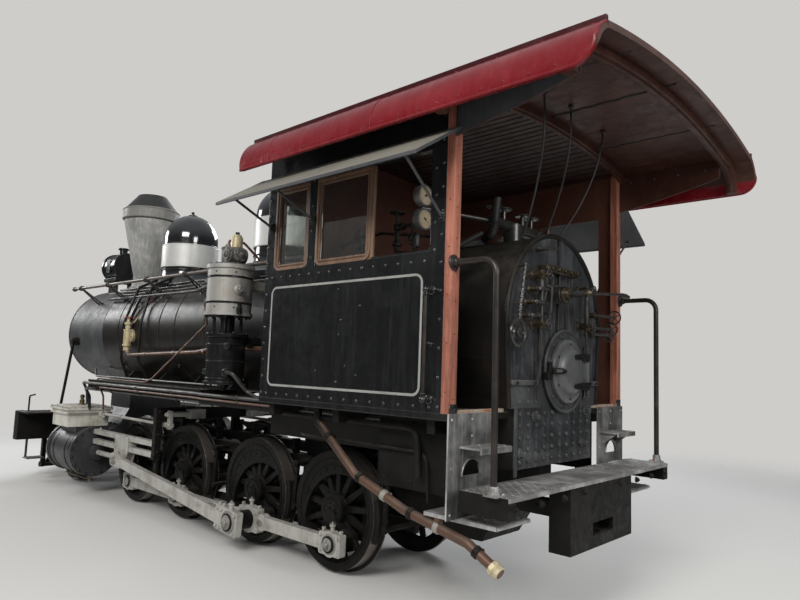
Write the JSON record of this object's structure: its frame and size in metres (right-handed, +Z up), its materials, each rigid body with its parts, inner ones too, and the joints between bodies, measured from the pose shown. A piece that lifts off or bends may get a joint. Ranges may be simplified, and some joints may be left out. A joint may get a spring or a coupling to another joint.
{
  "type": "steam locomotive",
  "caption": "Narrow-gauge steam locomotive with a leading truck, coupled driving wheels, outside cylinders, straight boiler with two domes, flared stack and an open-backed cab.",
  "frame": {"origin": "on the floor under the middle of the length, level with the lowest points of the flanges", "axes": "+X ahead along the engine, +Y to its left, +Z up"},
  "size_m": [9.23, 3.2, 3.934],
  "materials": {
    "awning_grey": "dark grey board",
    "black_paint": "gloss black enamel",
    "brass": "dull brass",
    "bright_steel": "bright worn steel",
    "brown_pipe": "oxidised copper and brown paint",
    "deck_steel": "bare dull plate with rust",
    "frame_black": "dull oily black",
    "glass": "clear window glass",
    "graphite": "graphite grey heat-proof paint",
    "post_wood": "varnished red-brown wood",
    "rod_grey": "light grey-beige paint",
    "roof_red": "gloss crimson over board ceiling",
    "sash_wood": "tan varnished wood",
    "seat_black": "black box with a leather cushion",
    "silver_paint": "silver-grey paint",
    "stack_grey": "streaked grey paint with rust specks",
    "wheel_black": "satin black with worn treads"
  },
  "bodies": {
    "engine": {"air_pump": "silver_paint", "ash_pan": "frame_black", "awnings": "awning_grey", "backhead_fittings": "brass", "boiler_barrel": "black_paint", "brake_rigging": "frame_black", "cab_floor": "deck_steel", "cab_front": "black_paint", "cab_posts": "post_wood", "cab_roof": "roof_red", "cab_side_left": "black_paint", "cab_side_right": "black_paint", "check_valves": "brass", "cylinder_left": "graphite", "cylinder_right": "graphite", "firebox": "black_paint", "front_coupler": "frame_black", "grab_rails": "black_paint", "guide_bars": "rod_grey", "guide_yoke": "frame_black", "handrails": "brown_pipe", "headlight": "black_paint", "main_frame": "frame_black", "pilot": "frame_black", "pilot_beam": "black_paint", "rear_steps": "frame_black", "reverser": "bright_steel", "roof_ribs": "post_wood", "running_boards": "black_paint", "sand_dome": "black_paint", "seat_boxes": "seat_black", "smokebox": "graphite", "smokebox_braces": "frame_black", "smokestack": "stack_grey", "spring_rigging": "frame_black", "steam_chests": "rod_grey", "steam_dome": "black_paint", "suction_pipe": "brown_pipe", "valve_rods": "black_paint", "window_glass": "glass", "window_sashes": "sash_wood"},
    "axle_1": {"axle_1": "wheel_black"},
    "axle_2": {"axle_2": "wheel_black"},
    "axle_3": {"axle_3": "wheel_black"},
    "axle_4": {"axle_4": "wheel_black"},
    "side_rod_left": {"side_rod_left": "rod_grey"},
    "side_rod_right": {"side_rod_right": "rod_grey"},
    "main_rod_left": {"main_rod_left": "rod_grey"},
    "main_rod_right": {"main_rod_right": "rod_grey"},
    "crosshead_left": {"crosshead_left": "rod_grey"},
    "crosshead_right": {"crosshead_right": "rod_grey"},
    "pony_truck": {"pony_truck": "frame_black"},
    "pony_axle": {"pony_axle": "wheel_black"},
    "smokebox_door": {"smokebox_door": "graphite"},
    "fire_door": {"fire_door": "black_paint"}
  },
  "joints": [
    {"name": "main_axle_spin", "type": "hinge", "parent": "engine", "child": "axle_3", "pos_m": [-0.855, 0, 0.496], "axis": [0, 1, 0], "continuous": true},
    {"name": "axle_1_spin", "type": "hinge", "parent": "engine", "child": "axle_1", "pos_m": [1.505, 0, 0.496], "axis": [0, 1, 0], "continuous": true},
    {"name": "axle_2_spin", "type": "hinge", "parent": "engine", "child": "axle_2", "pos_m": [0.435, 0, 0.496], "axis": [0, 1, 0], "continuous": true},
    {"name": "axle_4_spin", "type": "hinge", "parent": "engine", "child": "axle_4", "pos_m": [-1.945, 0, 0.496], "axis": [0, 1, 0], "continuous": true},
    {"name": "side_rod_left_pin", "type": "hinge", "parent": "axle_3", "child": "side_rod_left", "pos_m": [-0.97425, 0.655, 0.27173], "axis": [0, 1, 0], "continuous": true},
    {"name": "main_rod_left_pin", "type": "hinge", "parent": "axle_3", "child": "main_rod_left", "pos_m": [-0.97425, 0.8653, 0.27173], "axis": [0, 1, 0], "continuous": true},
    {"name": "side_rod_right_pin", "type": "hinge", "parent": "axle_3", "child": "side_rod_right", "pos_m": [-1.07927, -0.655, 0.61525], "axis": [0, 1, 0], "continuous": true},
    {"name": "main_rod_right_pin", "type": "hinge", "parent": "axle_3", "child": "main_rod_right", "pos_m": [-1.07927, -0.8653, 0.61525], "axis": [0, 1, 0], "continuous": true},
    {"name": "crosshead_left_slide", "type": "slide", "parent": "engine", "child": "crosshead_left", "axis": [1, 0, 0], "range_m": [-0.121, 0.3871]},
    {"name": "crosshead_right_slide", "type": "slide", "parent": "engine", "child": "crosshead_right", "axis": [1, 0, 0], "range_m": [-0.0282, 0.4798]},
    {"name": "pony_truck_swivel", "type": "hinge", "parent": "engine", "child": "pony_truck", "pos_m": [2.075, 0, 0.456], "axis": [0, 0, 1], "range_deg": [-4, 4]},
    {"name": "pony_axle_spin", "type": "hinge", "parent": "pony_truck", "child": "pony_axle", "pos_m": [3.305, 0, 0.356], "axis": [0, 1, 0], "continuous": true},
    {"name": "smokebox_door_hinge", "type": "hinge", "parent": "engine", "child": "smokebox_door", "pos_m": [3.689, -0.48, 1.996], "axis": [0, 0, -1], "range_deg": [0, 110]},
    {"name": "fire_door_hinge", "type": "hinge", "parent": "engine", "child": "fire_door", "pos_m": [-3.677, -0.4, 1.676], "axis": [0, 0, 1], "range_deg": [0, 110]}
  ],
  "couplings": [
    {"joint": "axle_1_spin", "follows": "main_axle_spin", "ratio": 1},
    {"joint": "axle_2_spin", "follows": "main_axle_spin", "ratio": 1},
    {"joint": "axle_4_spin", "follows": "main_axle_spin", "ratio": 1},
    {"joint": "side_rod_left_pin", "follows": "main_axle_spin", "ratio": -1},
    {"joint": "main_rod_left_pin", "follows": "main_axle_spin", "ratio": -1},
    {"joint": "side_rod_right_pin", "follows": "main_axle_spin", "ratio": -1},
    {"joint": "main_rod_right_pin", "follows": "main_axle_spin", "ratio": -1}
  ]
}
